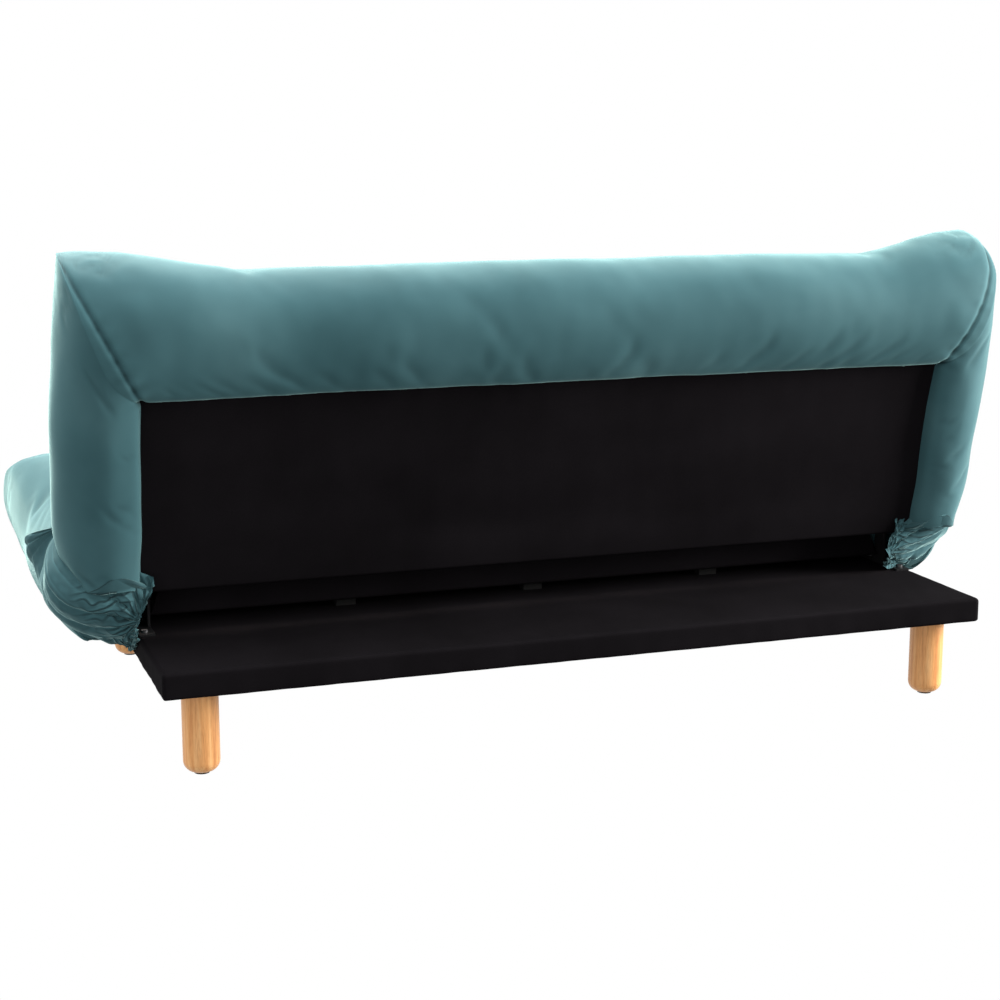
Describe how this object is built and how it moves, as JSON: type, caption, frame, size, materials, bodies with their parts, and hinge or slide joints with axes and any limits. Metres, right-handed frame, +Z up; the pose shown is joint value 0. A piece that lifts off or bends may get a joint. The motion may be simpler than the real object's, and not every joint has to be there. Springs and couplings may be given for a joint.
{
  "type": "futon sofa bed",
  "caption": "Click-clack sofa bed: a padded seat on a low wrapped base board with round wooden legs, and a padded back that reclines to lie flat behind the seat.",
  "frame": {"origin": "on the floor, at the middle of the outline's width and depth", "axes": "+X along the sofa's width, to the right as seen from the front; -Y towards the front, where a person sits; +Z up"},
  "size_m": [1.98, 1.052, 0.9281],
  "materials": {
    "black_cloth": "matt spun-bonded non-woven cloth",
    "plywood": "raw thin plywood",
    "pine": "raw planed softwood",
    "oak": "clear matt lacquer over straight-grained oak",
    "beech_ply": "clear lacquered bent beech plywood",
    "black_plastic": "fine matt texture",
    "rubber": "matt",
    "frame_paint": "dark satin powder coat",
    "foam": "open-cell polyurethane foam",
    "velvet": "short-pile teal velvet with a pale sheen",
    "plated_steel": "zinc plated",
    "bright_steel": "zinc plated"
  },
  "bodies": {
    "root": {"base_cover": "black_cloth", "base_deck": "plywood", "rail_front": "pine", "rail_rear": "pine", "rail_left": "pine", "rail_right": "pine", "cross_rails": "pine", "leg_blocks": "pine", "leg_front_left": "oak", "leg_front_right": "oak", "leg_rear_left": "oak", "leg_rear_right": "oak", "leg_glides": "black_plastic", "leg_bolts": "bright_steel", "leg_tee_nuts": "bright_steel", "seat_spacers": "rubber", "seat_bolts": "bright_steel", "seat_tube_front": "frame_paint", "seat_tube_rear": "frame_paint", "seat_tube_left": "frame_paint", "seat_tube_right": "frame_paint", "seat_slats": "beech_ply", "seat_slat_caps": "black_plastic", "seat_foam": "foam", "seat_cover": "velvet", "seat_underside_cloth": "black_cloth", "hinge_bracket_left": "frame_paint", "hinge_bracket_right": "frame_paint", "bracket_bolts": "bright_steel", "hinge_pin_left": "bright_steel", "hinge_pin_right": "bright_steel", "hinge_clips": "bright_steel", "pawl_pins": "bright_steel", "pawl_springs": "bright_steel", "end_gather_left": "velvet", "end_gather_right": "velvet"},
    "back": {"back_tube_top": "frame_paint", "back_tube_bottom": "frame_paint", "back_tube_left": "frame_paint", "back_tube_right": "frame_paint", "back_slats": "beech_ply", "back_slat_caps": "black_plastic", "back_foam": "foam", "back_cover": "velvet", "back_panel": "black_cloth", "back_arm_left": "frame_paint", "back_arm_right": "frame_paint", "arm_bolts": "bright_steel"},
    "pawl_left": {"pawl_left": "plated_steel"},
    "pawl_right": {"pawl_right": "plated_steel"}
  },
  "joints": [
    {"name": "back_recline", "type": "hinge", "parent": "root", "child": "back", "pos_m": [0, 0.18, 0.306], "axis": [-1, 0, 0], "range_deg": [-10, 78.3], "deforming": ["end_gather_left", "end_gather_right"]},
    {"name": "pawl_left_lift", "type": "hinge", "parent": "root", "child": "pawl_left", "pos_m": [-0.8085, 0.112, 0.3], "axis": [-1, 0, 0], "range_deg": [0, 15], "stiffness_Nm_per_rad": 0.2, "springref_deg": -11.46, "deforming": ["pawl_springs"]},
    {"name": "pawl_right_lift", "type": "hinge", "parent": "root", "child": "pawl_right", "pos_m": [0.8085, 0.112, 0.3], "axis": [-1, 0, 0], "range_deg": [0, 15], "stiffness_Nm_per_rad": 0.2, "springref_deg": -11.46}
  ]
}
